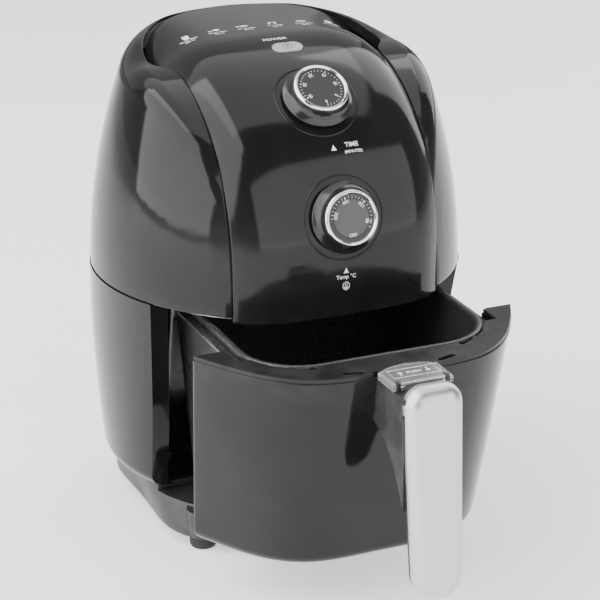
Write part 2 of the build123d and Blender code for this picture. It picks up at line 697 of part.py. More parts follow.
def make_vent_grille():
    """Rear outlet: a piece of the dome's skin with level slots."""
    skin = dome_block() - dome_block(wall)
    grille = skin & vent_box(0.3)
    for row in range(7):
        z = vent_low + 4.6 + 5.8 * row
        for x in (-16, 16):
            grille -= Pos(x, 95, z) * Rot(90, 0, 0) * extrude(SlotOverall(27, 2.8), amount=40, both=True)
    return grille


def make_cord_inlet():
    """Empty bushing where the mains lead would enter."""
    bush = turned(((3.6, -8.0), (7.8, -8.0), (7.8, 0.4), (11.0, 0.4), (11.0, 2.2), (9.0, 4.2), (3.6, 4.2)))
    return Pos(0, inlet_back_y, inlet_z) * Rot(-90, 0, 0) * bush


def make_switch():
    case = Pos(44, 84.2, 120) * Box(20, 7, 10)
    case -= Pos(44, 84, 120) * Rot(90, 0, 0) * Cylinder(1.85, 20)
    plunger = Pos(44, 78.2, 120) * Rot(90, 0, 0) * Cylinder(1.8, 10.8)
    tip = plunger.edges().filter_by(GeomType.CIRCLE).sort_by(Axis.Y)[0]
    return case, fillet(tip, 1.2)


def make_all():
    """Every node: name, shape, whether it rides on the drawer."""
    upper, ledge = make_upper_housing()
    time_parts = make_knob(time_angle)
    temp_parts = make_knob(temp_angle)
    timer_case, timer_bell = make_timer()
    lens, lamp_holder, neon = make_lamp()
    motor_can, motor_core, motor_bracket = make_motor()
    switch_case, switch_plunger = make_switch()
    liner = make_bay_liner() - Pos(44, 79, 120) * Rot(90, 0, 0) * Cylinder(2.6, 12)
    down = Rot(180, 0, 0)
    base_screws = [Pos(x, y, 26.0) * down * screw(4.2, 2.6, 1.7, 6) for x, y in screw_places]
    deck_screws = []
    for k in range(4):
        angle = math.radians(45 + 90 * k)
        reach = 88.0
        x = reach * math.cos(angle)
        y = reach * math.sin(angle)
        deck_screws.append(Pos(x, y, 153.3) * screw(3.8, 2.4, 1.5, 1.7))
    static = {
        "upper_housing": (upper - vent_box(0)) + ledge,
        "control_panel": make_control_panel(),
        "lower_housing": make_lower_housing(),
        "base": make_base(base_screws),
        "feet": make_feet(),
        "base_screws": base_screws,
        "deck_screws": deck_screws,
        "vent_grille": make_vent_grille(),
        "cord_inlet": make_cord_inlet(),
        "bay_liner": liner,
        "mid_deck": make_mid_deck() - Compound(deck_screws),
        "heat_shield": make_heat_shield(),
        "heating_element": make_heating_element(),
        "element_guard": make_element_guard(),
        "motor": motor_can,
        "motor_core": motor_core,
        "motor_bracket": motor_bracket,
        "convection_fan": make_fan(50, 9, 10, 12, fan_z, 18),
        "cooling_fan": make_fan(32, 7, 8, 9, 226.0, 22),
        "motor_shaft": make_motor_shaft(),
        "timer": timer_case,
        "timer_bell": timer_bell,
        "thermostat": make_thermostat(),
        "time_knob": time_parts[0],
        "time_knob_ring": time_parts[1],
        "time_dial": time_parts[2],
        "time_shaft": time_parts[3],
        "temp_knob": temp_parts[0],
        "temp_knob_ring": temp_parts[1],
        "temp_dial": temp_parts[2],
        "temp_shaft": temp_parts[3],
        "lamp_lens": lens,
        "lamp_holder": lamp_holder,
        "neon_lamp": neon,
        "drawer_switch": switch_case,
        "switch_plunger": switch_plunger,
        "terminal_block": Pos(0, 88, 153.4) * Box(26, 12, 12, align=standing),
        "thermal_fuse": Pos(30, air_y + 20, shield_top + 0.2)
                        * Box(18, 8, 4, align=standing),
    }
    sliding = {
        "drawer_front": make_drawer_front(),
        "drawer_rim": make_drawer_rim(),
        "pan": make_pan(),
        "basket": make_basket(),
        "basket_rim": make_basket_rim(),
        "handle_core": make_handle_core(),
        "handle_cover": make_handle_cover(),
        "handle_screws": make_handle_screws(),
        "button_guard": make_button_guard(),
        "guard_pin": make_guard_pin(),
        "release_button": make_release_button(),
        "button_spring": make_button_spring(),
    }
    return static, sliding


def write(name, shape, shift_y):
    solids = shape if isinstance(shape, list) else [shape]
    moved = []
    for solid in solids:
        moved += (Pos(0, shift_y, 0) * solid).solids()
    body = moved[0] if len(moved) == 1 else Compound(moved)
    export_step(body, f"parts/{name}.step")


static_nodes, sliding_nodes = make_all()
for node, shape in static_nodes.items():
    write(node, shape, frame_shift)
for node, shape in sliding_nodes.items():
    write(node, shape, frame_shift - drawer_open)
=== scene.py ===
import json
import math

import bpy
from mathutils import Matrix, Vector
from mathutils.bvhtree import BVHTree


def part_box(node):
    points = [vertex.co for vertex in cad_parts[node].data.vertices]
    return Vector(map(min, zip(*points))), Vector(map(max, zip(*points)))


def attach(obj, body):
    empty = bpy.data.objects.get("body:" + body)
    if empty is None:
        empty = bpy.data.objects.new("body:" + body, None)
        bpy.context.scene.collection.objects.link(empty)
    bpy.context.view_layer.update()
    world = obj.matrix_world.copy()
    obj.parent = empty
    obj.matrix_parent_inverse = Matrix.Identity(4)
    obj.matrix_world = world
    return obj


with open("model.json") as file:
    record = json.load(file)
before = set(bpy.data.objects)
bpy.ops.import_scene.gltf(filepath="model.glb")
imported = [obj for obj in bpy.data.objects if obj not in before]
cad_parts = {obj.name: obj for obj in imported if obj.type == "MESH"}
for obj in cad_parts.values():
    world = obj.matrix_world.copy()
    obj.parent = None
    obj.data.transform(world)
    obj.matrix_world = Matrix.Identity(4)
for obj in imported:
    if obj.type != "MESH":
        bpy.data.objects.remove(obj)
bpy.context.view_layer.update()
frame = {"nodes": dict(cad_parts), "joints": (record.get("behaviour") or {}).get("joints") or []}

JOINTS = {j["name"]: j for j in frame["joints"]}
ARC_R = 0.108            # radius of the panel's arc, metres
RAY_START = 0.2          # how far outside the panel a probing ray starts
PRINT_LIFT = 0.00012     # lettering above the panel
DIAL_GAP = 0.00008       # plane of the dial print above the disc
RING_R = 0.0235          # moulded ring round each knob
ICON_PITCH = 0.0180      # step between the six icons on the top
ICON_START = -0.0455
FLOOR_REACH = 9.0


# ---- camera ---------------------------------------------------------------------------
body_y = JOINTS["fan_spin"]["pos_m"][1] + 0.006
camera_data = bpy.data.cameras.new("camera")
camera_data.lens = 130.0
camera_data.sensor_width = 36.0
camera = bpy.data.objects.new("camera", camera_data)
bpy.context.scene.collection.objects.link(camera)
camera.location = (-0.47028, body_y - 1.11614, 0.59690)
aim = Vector((0.01671, body_y, 0.12253)) - camera.location
camera.rotation_euler = aim.to_track_quat("-Z", "Y").to_euler()
bpy.context.scene.camera = camera


# ---- materials ------------------------------------------------------------------------
class Nodes:
    """Short-hand for building one shader tree."""

    def __init__(self, name):
        self.material = bpy.data.materials.new(name)
        self.material.use_nodes = True
        self.tree = self.material.node_tree
        self.shader = self.tree.nodes["Principled BSDF"]
        coords = self.add("ShaderNodeTexCoord")
        self.place = coords.outputs["Object"]

    def add(self, kind, **values):
        node = self.tree.nodes.new(kind)
        for key, value in values.items():
            setattr(node, key, value)
        return node

    def link(self, out, into):
        self.tree.links.new(out, into)

    def stretched(self, scale):
        mapping = self.add("ShaderNodeMapping")
        mapping.inputs["Scale"].default_value = scale
        self.link(self.place, mapping.inputs["Vector"])
        return mapping.outputs["Vector"]

    def noise(self, scale, detail=4.0, vector=None, rough=0.55):
        node = self.add("ShaderNodeTexNoise")
        node.inputs["Scale"].default_value = scale
        node.inputs["Detail"].default_value = detail
        node.inputs["Roughness"].default_value = rough
        self.link(vector if vector is not None else self.place, node.inputs["Vector"])
        return node.outputs["Fac"]

    def ramp(self, fac, stops):
        node = self.add("ShaderNodeValToRGB")
        elements = node.color_ramp.elements
        while len(elements) < len(stops):
            elements.new(0.5)
        for element, (spot, color) in zip(elements, stops):
            element.position = spot
            element.color = (*color, 1.0) if len(color) == 3 else color
        self.link(fac, node.inputs["Fac"])
        return node.outputs["Color"]

    def span(self, fac, low, high, from_low=0.3, from_high=0.7):
        node = self.add("ShaderNodeMapRange")
        node.inputs["From Min"].default_value = from_low
        node.inputs["From Max"].default_value = from_high
        node.inputs["To Min"].default_value = low
        node.inputs["To Max"].default_value = high
        self.link(fac, node.inputs["Value"])
        return node.outputs["Result"]

    def mix(self, fac, a, b, mode="MIX"):
        node = self.add("ShaderNodeMix", data_type="RGBA", blend_type=mode)
        for socket, value in ((node.inputs["Factor"], fac), (node.inputs["A"], a), (node.inputs["B"], b)):
            if isinstance(value, (int, float)):
                socket.default_value = value
            elif isinstance(value, tuple):
                socket.default_value = (*value, 1.0)
            else:
                self.link(value, socket)
        return node.outputs["Result"]

    def bump(self, height, strength, distance=0.0005, normal=None):
        node = self.add("ShaderNodeBump")
        node.inputs["Strength"].default_value = strength
        node.inputs["Distance"].default_value = distance
        self.link(height, node.inputs["Height"])
        if normal is not None:
            self.link(normal, node.inputs["Normal"])
        return node.outputs["Normal"]

    def rounded(self, radius):
        node = self.add("ShaderNodeBevel", samples=6)
        node.inputs["Radius"].default_value = radius
        return node.outputs["Normal"]

    def edges(self, low=0.505, high=0.56):
        """Bright where the mesh has a convex edge."""
        geometry = self.add("ShaderNodeNewGeometry")
        return self.span(geometry.outputs["Pointiness"], 0.0, 1.0, low, high)


def plastic(name, color, rough, grain=900.0, grain_depth=0.03, wave=14.0, wave_depth=0.0,
            specks=0.25, edge_radius=0.0, worn=0.0, coat=0.0, specular=0.5):
    """Moulded plastic: even colour with faint clouding, fine grain, slight waviness and dust."""
    n = Nodes(name)
    light = tuple(min(1.0, c * 1.35 + 0.004) for c in color)
    dark = tuple(c * 0.75 for c in color)
    cloud = n.noise(11.0, 3.0)
    base = n.ramp(cloud, ((0.3, dark), (0.7, light)))
    dust = n.noise(620.0, 6.0, rough=0.75)
    base = n.mix(n.ramp(dust, ((0.70, (0, 0, 0)), (0.80, (specks, specks, specks)))), base,
                 tuple(c * 0.6 + 0.10 for c in color))
    if worn > 0:
        rub = n.noise(90.0, 5.0)
        at_edges = n.ramp(n.edges(), ((0.0, (0, 0, 0)), (1.0, (worn, worn, worn))))
        patchy = n.ramp(rub, ((0.35, (0, 0, 0)), (0.65, (1, 1, 1))))
        mask = n.mix(1.0, at_edges, patchy, "MULTIPLY")
        base = n.mix(mask, base, tuple(c * 0.7 + 0.14 for c in color))
    n.link(base, n.shader.inputs["Base Color"])
    smear = n.noise(26.0, 5.0, n.stretched((1.0, 1.0, 0.35)))
    n.link(n.span(smear, rough * 0.8, rough * 1.35), n.shader.inputs["Roughness"])
    normal = n.rounded(edge_radius) if edge_radius > 0 else None
    if wave_depth > 0:
        normal = n.bump(n.noise(wave, 1.5), wave_depth, 0.002, normal)
    normal = n.bump(n.noise(grain, 3.0), grain_depth, 0.0003, normal)
    n.link(normal, n.shader.inputs["Normal"])
    n.shader.inputs["Specular IOR Level"].default_value = specular
    if coat > 0:
        n.shader.inputs["Coat Weight"].default_value = coat
        n.shader.inputs["Coat Roughness"].default_value = 0.03
    return n.material


def metal(name, color, rough, streak=(1.0, 1.0, 30.0), grain=260.0, depth=0.05, tarnish=0.15,
          edge_radius=0.0):
    """Metal with drawn or brushed lines, a little tarnish and brighter edges."""
    n = Nodes(name)
    lines = n.noise(grain, 6.0, n.stretched(streak), 0.7)
    stain = n.noise(34.0, 6.0)
    low = tuple(c * 0.82 for c in color)
    high = tuple(min(1.0, c * 1.12) for c in color)
    base = n.ramp(lines, ((0.25, low), (0.75, high)))
    base = n.mix(n.ramp(stain, ((0.5, (0, 0, 0)), (0.8, (tarnish, tarnish, tarnish)))), base,
                 (color[0] * 0.5, color[1] * 0.46, color[2] * 0.40))
    n.link(base, n.shader.inputs["Base Color"])
    n.shader.inputs["Metallic"].default_value = 1.0
    n.link(n.span(lines, rough * 0.75, rough * 1.3), n.shader.inputs["Roughness"])
    normal = n.rounded(edge_radius) if edge_radius > 0 else None
    n.link(n.bump(lines, depth, 0.0002, normal), n.shader.inputs["Normal"])
    return n.material


def coated(name, color, rough):
    """Non-stick coating: dark, speckled, slightly orange-peeled."""
    n = Nodes(name)
    speck = n.noise(1500.0, 3.0)
    base = n.ramp(speck, ((0.55, color), (0.68, tuple(c + 0.09 for c in color))))
    cook = n.noise(30.0, 6.0)
    base = n.mix(n.ramp(cook, ((0.52, (0, 0, 0)), (0.75, (0.35, 0.35, 0.35)))), base, (0.035, 0.028, 0.022))
    n.link(base, n.shader.inputs["Base Color"])
    n.link(n.span(cook, rough * 0.8, rough * 1.3), n.shader.inputs["Roughness"])
    n.link(n.bump(n.noise(700.0, 4.0), 0.10, 0.0004), n.shader.inputs["Normal"])
    return n.material


def flake_paint(name, color, rough):
    """Satin metallic paint with fine flakes."""
    n = Nodes(name)
    flakes = n.add("ShaderNodeTexVoronoi")
    flakes.inputs["Scale"].default_value = 3800.0
    n.link(n.place, flakes.inputs["Vector"])
    low = tuple(c * 0.86 for c in color)
    high = tuple(min(1.0, c * 1.12) for c in color)
    tone = n.ramp(flakes.outputs["Color"], ((0.1, low), (0.9, high)))
    cloud = n.noise(18.0, 4.0)
    clouded = n.ramp(cloud, ((0.4, (0, 0, 0)), (0.8, (0.12, 0.12, 0.12))))
    base = n.mix(clouded, tone, tuple(c * 0.7 for c in color))
    n.link(base, n.shader.inputs["Base Color"])
    n.shader.inputs["Metallic"].default_value = 0.85
    n.link(n.span(n.noise(60.0, 5.0), rough * 0.85, rough * 1.2), n.shader.inputs["Roughness"])
    n.link(n.bump(flakes.outputs["Distance"], 0.05, 0.0002), n.shader.inputs["Normal"])
    return n.material


def clear(name, color, rough, see_through, ior=1.49):
    """Clear moulded plastic with faint flow lines and scuffs."""
    n = Nodes(name)
    n.link(n.ramp(n.noise(24.0, 4.0), ((0.3, tuple(c * 0.94 for c in color)), (0.7, color))),
           n.shader.inputs["Base Color"])
    n.shader.inputs["Transmission Weight"].default_value = see_through
    n.shader.inputs["IOR"].default_value = ior
    n.link(n.span(n.noise(120.0, 6.0), rough * 0.6, rough * 1.8), n.shader.inputs["Roughness"])
    n.link(n.bump(n.noise(60.0, 2.0, n.stretched((1.0, 0.3, 1.0))), 0.03, 0.0008), n.shader.inputs["Normal"])
    return n.material


GLOSS = plastic("gloss_black", (0.0065, 0.0065, 0.007), 0.075, grain=1400.0, grain_depth=0.010, wave=9.0,
                wave_depth=0.012, specks=0.10, edge_radius=0.0016, worn=0.05, specular=0.28)
LOWER = plastic("gloss_lower", (0.0065, 0.0065, 0.007), 0.075, grain=1400.0, grain_depth=0.010, wave=9.0,
                wave_depth=0.012, specks=0.10, specular=0.28)
PANEL = plastic("gloss_panel", (0.0065, 0.0065, 0.007), 0.10, grain=1400.0, grain_depth=0.012, wave=9.0,
                wave_depth=0.010, specks=0.10, edge_radius=0.0014, worn=0.05, specular=0.28)
KNOB = plastic("knob_black", (0.010, 0.010, 0.011), 0.16, grain=1100.0, grain_depth=0.03, specks=0.15,
               edge_radius=0.0005, worn=0.15)
BASE = plastic("base_grey", (0.016, 0.0165, 0.018), 0.38, grain=1300.0, grain_depth=0.16, specks=0.3,
               edge_radius=0.0008, worn=0.2)
MATTE = plastic("matte_black", (0.012, 0.012, 0.013), 0.40, grain=1300.0, grain_depth=0.16, specks=0.25,
                edge_radius=0.0007, worn=0.2)
RIM = plastic("rim_black", (0.006, 0.006, 0.0065), 0.30, grain=1300.0, grain_depth=0.08, specks=0.2,
              edge_radius=0.0006, worn=0.1, specular=0.3)
RUBBER = plastic("foot_rubber", (0.013, 0.013, 0.013), 0.75, grain=900.0, grain_depth=0.35, specks=0.5)
DISC_BLACK = plastic("disc_black", (0.008, 0.008, 0.009), 0.28, grain=1500.0, grain_depth=0.08, specks=0.1)
DISC_GREY = plastic("disc_grey", (0.055, 0.056, 0.058), 0.35, grain=1500.0, grain_depth=0.08, specks=0.1)
BUTTON = plastic("button_grey", (0.10, 0.10, 0.11), 0.35, grain=1300.0, grain_depth=0.12,
                 edge_radius=0.0005, worn=0.2)
PHENOLIC = plastic("phenolic", (0.50, 0.44, 0.34), 0.55, grain=500.0, grain_depth=0.2, specks=0.3)
LAMP = plastic("lamp_grey", (0.30, 0.30, 0.30), 0.22, grain=1200.0, grain_depth=0.05, specks=0.05,
               edge_radius=0.0004, coat=0.3)
INK = plastic("white_ink", (0.85, 0.85, 0.85), 0.45, grain=2500.0, grain_depth=0.15, specks=0.1)
SILVER = flake_paint("silver_cover", (0.60, 0.60, 0.61), 0.30)
CHROME = metal("chrome_ring", (0.83, 0.83, 0.84), 0.07, (1.0, 1.0, 1.0), 300.0, 0.01, 0.05, 0.0002)
STEEL = metal("screw_steel", (0.55, 0.55, 0.56), 0.30, (1.0, 1.0, 20.0), 260.0, 0.06, 0.2)
SHEET = metal("sheet_metal", (0.62, 0.62, 0.61), 0.32, (1.0, 18.0, 1.0), 240.0, 0.06, 0.25)
ELEMENT = metal("element_metal", (0.20, 0.19, 0.18), 0.45, (1.0, 1.0, 1.0), 200.0, 0.12, 0.5)
ALUMINIUM = metal("aluminium", (0.77, 0.77, 0.78), 0.28, (10.0, 1.0, 1.0), 240.0, 0.06, 0.2)
COATING = coated("pan_coating", (0.024, 0.024, 0.025), 0.30)
CLEAR = clear("clear_guard", (0.93, 0.95, 0.96), 0.05, 0.9)
NEON = clear("neon_tube", (0.90, 0.50, 0.28), 0.10, 1.0)

LOOKS = {
    "upper_housing": GLOSS, "control_panel": PANEL, "lower_housing": LOWER, "drawer_front": GLOSS,
    "base": BASE, "feet": RUBBER, "base_screws": STEEL, "deck_screws": STEEL, "vent_grille": MATTE,
    "cord_inlet": MATTE, "bay_liner": SHEET, "mid_deck": SHEET, "heat_shield": SHEET,
    "heating_element": ELEMENT, "element_guard": STEEL, "motor": SHEET, "motor_core": ELEMENT,
    "motor_bracket": SHEET, "convection_fan": ALUMINIUM, "cooling_fan": ALUMINIUM, "motor_shaft": STEEL,
    "timer": SHEET, "timer_bell": CHROME, "thermostat": PHENOLIC, "time_knob": KNOB,
    "time_knob_ring": CHROME, "time_dial": DISC_BLACK, "time_shaft": STEEL, "temp_knob": KNOB,
    "temp_knob_ring": CHROME, "temp_dial": DISC_GREY, "temp_shaft": STEEL, "lamp_lens": LAMP,
    "lamp_holder": MATTE, "neon_lamp": NEON, "drawer_switch": MATTE, "switch_plunger": PHENOLIC,
    "terminal_block": PHENOLIC, "thermal_fuse": PHENOLIC, "drawer_rim": RIM, "pan": COATING,
    "basket": COATING, "basket_rim": COATING, "handle_core": MATTE, "handle_cover": SILVER,
    "handle_screws": STEEL, "button_guard": CLEAR, "guard_pin": STEEL, "release_button": BUTTON,
    "button_spring": STEEL,
}
for node_name, look in LOOKS.items():
    for slot in frame["nodes"][node_name].material_slots:
        slot.material = look


# ---- making pieces --------------------------------------------------------------------
def piece(name, verts, faces, look, body):
    mesh = bpy.data.meshes.new(name)
    mesh.from_pydata([tuple(v) for v in verts], [], faces)
    mesh.materials.append(look)
    mesh.update()
    thing = bpy.data.objects.new(name, mesh)
    bpy.context.scene.collection.objects.link(thing)
    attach(thing, body)
    return thing


def flat_text(words, size, spacing=1.0):
    """Outline triangles of a line of lettering, centred on (0, 0)."""
    curve = bpy.data.curves.new("lettering", "FONT")
    curve.body = words
    curve.size = size
    curve.align_x = "CENTER"
    curve.align_y = "CENTER"
    curve.space_character = spacing
    curve.resolution_u = 3
    curve.offset = size * 0.012
    holder = bpy.data.objects.new("lettering", curve)
    mesh = bpy.data.meshes.new_from_object(holder)
    verts = [(v.co.x, v.co.y) for v in mesh.vertices]
    faces = [tuple(p.vertices) for p in mesh.polygons]
    bpy.data.objects.remove(holder)
    bpy.data.curves.remove(curve)
    bpy.data.meshes.remove(mesh)
    return verts, faces


def polygon(points):
    return list(points), [tuple(range(len(points)))]


def strip(points, width, closed=False):
    """Flat line of even width through (x, y) points."""
    verts = []
    count = len(points)
    for k in range(count):
        before = points[k - 1] if (k > 0 or closed) else points[k]
        after = points[(k + 1) % count] if (k < count - 1 or closed) else points[k]
        dx, dy = after[0] - before[0], after[1] - before[1]
        size = math.hypot(dx, dy) or 1.0
        nx, ny = -dy / size * width / 2, dx / size * width / 2
        verts.append((points[k][0] + nx, points[k][1] + ny))
        verts.append((points[k][0] - nx, points[k][1] - ny))
    faces = []
    for k in range(count if closed else count - 1):
        a, b = 2 * k, 2 * ((k + 1) % count)
        faces.append((a, a + 1, b + 1, b))
    return verts, faces


def arc_points(radius, start, end, steps, cx=0.0, cy=0.0):
    points = []
    for k in range(steps + 1):
        a = math.radians(start + (end - start) * k / steps)
        points.append((cx + radius * math.cos(a), cy + radius * math.sin(a)))
    return points


def joined(parts):
    verts, faces = [], []
    for part_verts, part_faces in parts:
        base = len(verts)
        verts += part_verts
        faces += [tuple(base + i for i in face) for face in part_faces]
    return verts, faces


def shifted(shape, dx=0.0, dy=0.0, turn=0.0, scale=1.0):
    c, s = math.cos(math.radians(turn)), math.sin(math.radians(turn))
    verts = [(dx + scale * (c * x - s * y), dy + scale * (s * x + c * y)) for x, y in shape[0]]
    return verts, shape[1]


# ---- panel surface --------------------------------------------------------------------
def surface_of(node_name):
    mesh = frame["nodes"][node_name].data
    points = [v.co.copy() for v in mesh.vertices]
    return BVHTree.FromPolygons(points, [tuple(p.vertices) for p in mesh.polygons])


PANEL_TREE = surface_of("control_panel")
temp_pos = Vector(JOINTS["temp_turn"]["pos_m"])
temp_in = Vector(JOINTS["temp_turn"]["axis"])
time_pos = Vector(JOINTS["time_turn"]["pos_m"])
time_in = Vector(JOINTS["time_turn"]["axis"])
ARC_CENTRE = temp_pos + temp_in * ARC_R
TEMP_ANGLE = math.degrees(math.asin(-temp_in.z))
TIME_ANGLE = math.degrees(math.asin(-time_in.z))
DEGREES_PER_METRE = math.degrees(1.0 / ARC_R)


def on_panel(x, angle, lift=PRINT_LIFT):
    """Point on the panel at x and at an angle over the arc (past 90 it runs back level)."""
    if angle <= 90.0:
        a = math.radians(angle)
        way = Vector((0, -math.cos(a), math.sin(a)))
        start = Vector((x, ARC_CENTRE.y, ARC_CENTRE.z)) + way * RAY_START
    else:
        way = Vector((0, 0, 1))
        back = math.radians(angle - 90.0) * ARC_R
        start = Vector((x, ARC_CENTRE.y + back, ARC_CENTRE.z)) + way * RAY_START
    spot, normal, _, _ = PANEL_TREE.ray_cast(start, -way)
    if spot is None:
        return start - way * (RAY_START - ARC_R)
    if normal.dot(way) < 0:
        normal = -normal
    return spot + normal * lift


def print_on_panel(name, shape, x, angle):
    verts = [on_panel(x + px, angle + py * DEGREES_PER_METRE) for px, py in shape[0]]
    return piece(name, verts, shape[1], INK, "machine")


def ring_on_panel(name, angle, radius, width, height):
    """Thin moulded ring standing on the panel."""
    verts, faces = [], []
    steps = 96
    profile = ((-width / 2, -0.0002), (-width * 0.3, height * 0.8), (0.0, height),
               (width * 0.3, height * 0.8), (width / 2, -0.0002))
    for k in range(steps):
        a = 2 * math.pi * k / steps
        for offset, lift in profile:
            r = radius + offset
            verts.append(on_panel(r * math.cos(a), angle + r * math.sin(a) * DEGREES_PER_METRE, lift))
    rows = len(profile)
    for k in range(steps):
        for j in range(rows - 1):
            a, b = k * rows + j, ((k + 1) % steps) * rows + j
            faces.append((a, b, b + 1, a + 1))
    thing = piece(name, verts, faces, PANEL, "machine")
    for face in thing.data.polygons:
        face.use_smooth = True
    return thing


ring_on_panel("time_moulded_ring", TIME_ANGLE, RING_R, 0.0012, 0.0006)
ring_on_panel("temp_moulded_ring", TEMP_ANGLE, RING_R, 0.0012, 0.0006)

triangle = polygon(((-0.0016, -0.0014), (0.0016, -0.0014), (0.0, 0.0018)))
print_on_panel("time_pointer", triangle, 0.001, TIME_ANGLE - 16.4)
print_on_panel("time_words", flat_text("TIME", 0.0038), 0.0120, TIME_ANGLE - 15.9)
print_on_panel("minutes_words", flat_text("(MINUTES)", 0.0023), 0.0124, TIME_ANGLE - 18.0)
print_on_panel("temp_pointer", triangle, 0.0, TEMP_ANGLE - 16.0)
print_on_panel("temp_words", flat_text("Temp °C", 0.0032), 0.0, TEMP_ANGLE - 17.9)
print_on_panel("power_words", flat_text("POWER", 0.0042), -0.003, 82.0)
thermometer = joined((strip(arc_points(0.0012, 120, 420, 14, 0, -0.0018), 0.0004),
                      strip(((-0.0006, -0.0008), (-0.0006, 0.0022), (0.0006, 0.0022),
                             (0.0006, -0.0008)), 0.0004),
                      polygon(arc_points(0.0007, 0, 345, 12, 0, -0.0018)),
                      strip(arc_points(0.0030, 135, 225, 8, 0.0008, -0.0004), 0.0004),
                      strip(arc_points(0.0030, -45, 45, 8, -0.0008, -0.0004), 0.0004)))
print_on_panel("temp_icon", shifted(thermometer, scale=0.9), 0.0, TEMP_ANGLE - 20.5)


def fries_icon():
    box = polygon(((-0.0016, 0.0), (0.0016, 0.0), (0.0012, -0.0028), (-0.0012, -0.0028)))
    sticks = [strip(((x * 0.8, 0.0002), (x, 0.0018 + 0.0005 * (k % 2))), 0.0005)
              for k, x in enumerate((-0.0013, -0.0006, 0.0001, 0.0008, 0.0014))]
    return joined([box] + sticks)


def drumstick_icon():
    meat = polygon([(0.0016 * math.cos(a) * (1.2 if math.cos(a) > 0 else 0.9) + 0.0006, 0.0013 * math.sin(a))
                    for a in [math.radians(24 * k) for k in range(15)]])
    return joined((meat, strip(((-0.0008, -0.0002), (-0.0030, -0.0010)), 0.0006),
                   polygon(arc_points(0.0005, 0, 330, 10, -0.0031, -0.0006)),
                   polygon(arc_points(0.0005, 0, 330, 10, -0.0029, -0.0013))))


def fish_icon():
    body = polygon([(0.0024 * math.cos(a), 0.0011 * math.sin(a)) for a in
                    [math.radians(20 * k) for k in range(18)]])
    return joined((body, polygon(((-0.0020, 0.0), (-0.0036, 0.0012), (-0.0036, -0.0012)))))


def cake_icon():
    return joined((polygon(((-0.0018, -0.0020), (0.0018, -0.0020), (0.0014, 0.0), (-0.0014, 0.0))),
                   polygon(arc_points(0.0019, 0, 180, 12, 0.0, 0.0003)),
                   strip(((0, 0.0022), (0.0, 0.0030)), 0.0006)))


def steak_icon():
    outline = []
    for k in range(20):
        a = math.radians(18 * k)
        outline.append((0.0022 * math.cos(a) + 0.0003 * math.cos(2 * a),
                        0.0015 * math.sin(a) + 0.0004 * math.cos(2 * a)))
    return joined((strip(outline, 0.0006, True), polygon(arc_points(0.0007, 0, 330, 10, 0.0005, 0.0002))))


def prawn_icon():
    return joined((strip(arc_points(0.0016, -60, 200, 16), 0.0010),
                   strip(((0.0014, 0.0010), (0.0030, 0.0018)), 0.0003),
                   polygon(((-0.0016, -0.0006), (-0.0028, -0.0014), (-0.0016, -0.0020)))))


ICON_ROW = ((fries_icon, "15-20 MIN", "200 C"), (drumstick_icon, "18-22 MIN", "180 C"),
            (fish_icon, "10-15 MIN", "180 C"), (prawn_icon, "8-12 MIN", "160 C"),
            (steak_icon, "10-15 MIN", "180 C"), (cake_icon, "20-25 MIN", "160 C"))
for k, (icon, minutes, degrees) in enumerate(ICON_ROW):
    x = ICON_START + ICON_PITCH * k
    print_on_panel(f"icon_{k}", shifted(icon(), scale=1.2), x, 98.6)
    print_on_panel(f"icon_time_{k}", flat_text(minutes, 0.0025), x, 95.8)
    print_on_panel(f"icon_heat_{k}", flat_text(degrees, 0.0025), x, 94.2)


# ---- dials ----------------------------------------------------------------------------
def dial_place(origin, inward, node_name):
    """Matrix from the dial's own plane to the scene; its height comes from the disc's box."""
    outward = -inward.normalized()
    side = Vector((1, 0, 0))
    up = outward.cross(side)
    mesh = frame["nodes"][node_name].data
    height = max((v.co - origin).dot(outward) for v in mesh.vertices)
    place = Matrix((side, up, outward)).transposed().to_4x4()
    place.translation = origin + outward * (height + DIAL_GAP)
    return place


def print_on_dial(name, shape, place, body, look=INK, lift=0.00005):
    verts = [place @ Vector((x, y, lift)) for x, y in shape[0]]
    return piece(name, verts, shape[1], look, body)


def ring_of(labels, start, step, radius, size):
    parts = []
    for k, label in enumerate(labels):
        angle = start + step * k
        a = math.radians(angle)
        parts.append(shifted(flat_text(label, size), radius * math.cos(a), radius * math.sin(a), angle + 90))
    return parts


def ticks(start, end, count, inner, outer, width):
    parts = []
    for k in range(count):
        a = math.radians(start + (end - start) * k / (count - 1))
        c, s = math.cos(a), math.sin(a)
        parts.append(strip(((inner * c, inner * s), (outer * c, outer * s)), width))
    return parts


time_place = dial_place(time_pos, time_in, "time_dial")
temp_place = dial_place(temp_pos, temp_in, "temp_dial")
time_marks = ring_of(("0", "5", "10", "15", "20", "25", "30"), -90.0, 50.0, 0.0094, 0.0027)
time_marks += ticks(-90.0, 210.0, 31, 0.0112, 0.0122, 0.00022)
time_marks += ticks(-90.0, 210.0, 7, 0.0108, 0.0122, 0.0004)
print_on_dial("time_dial_marks", joined(time_marks), time_place, "time_control")
temp_band = strip(arc_points(0.0115, 0, 355, 71), 0.0024, True)
print_on_dial("temp_dial_band", temp_band, temp_place, "temp_control", look=DISC_BLACK, lift=0.0)
temp_marks = ring_of(("OFF",), -90.0, 0.0, 0.0094, 0.0026)
temp_marks += ring_of(("80", "120", "160", "200"), -15.0, 60.0, 0.0095, 0.0027)
temp_marks += ticks(-30.0, 175.0, 21, 0.0112, 0.0122, 0.00022)
temp_marks += ticks(-15.0, 165.0, 4, 0.0108, 0.0122, 0.0004)
print_on_dial("temp_dial_marks", joined(temp_marks), temp_place, "temp_control")


# ---- lens and guard print -------------------------------------------------------------
lens_low, lens_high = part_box("lamp_lens")
lens_tree = surface_of("lamp_lens")


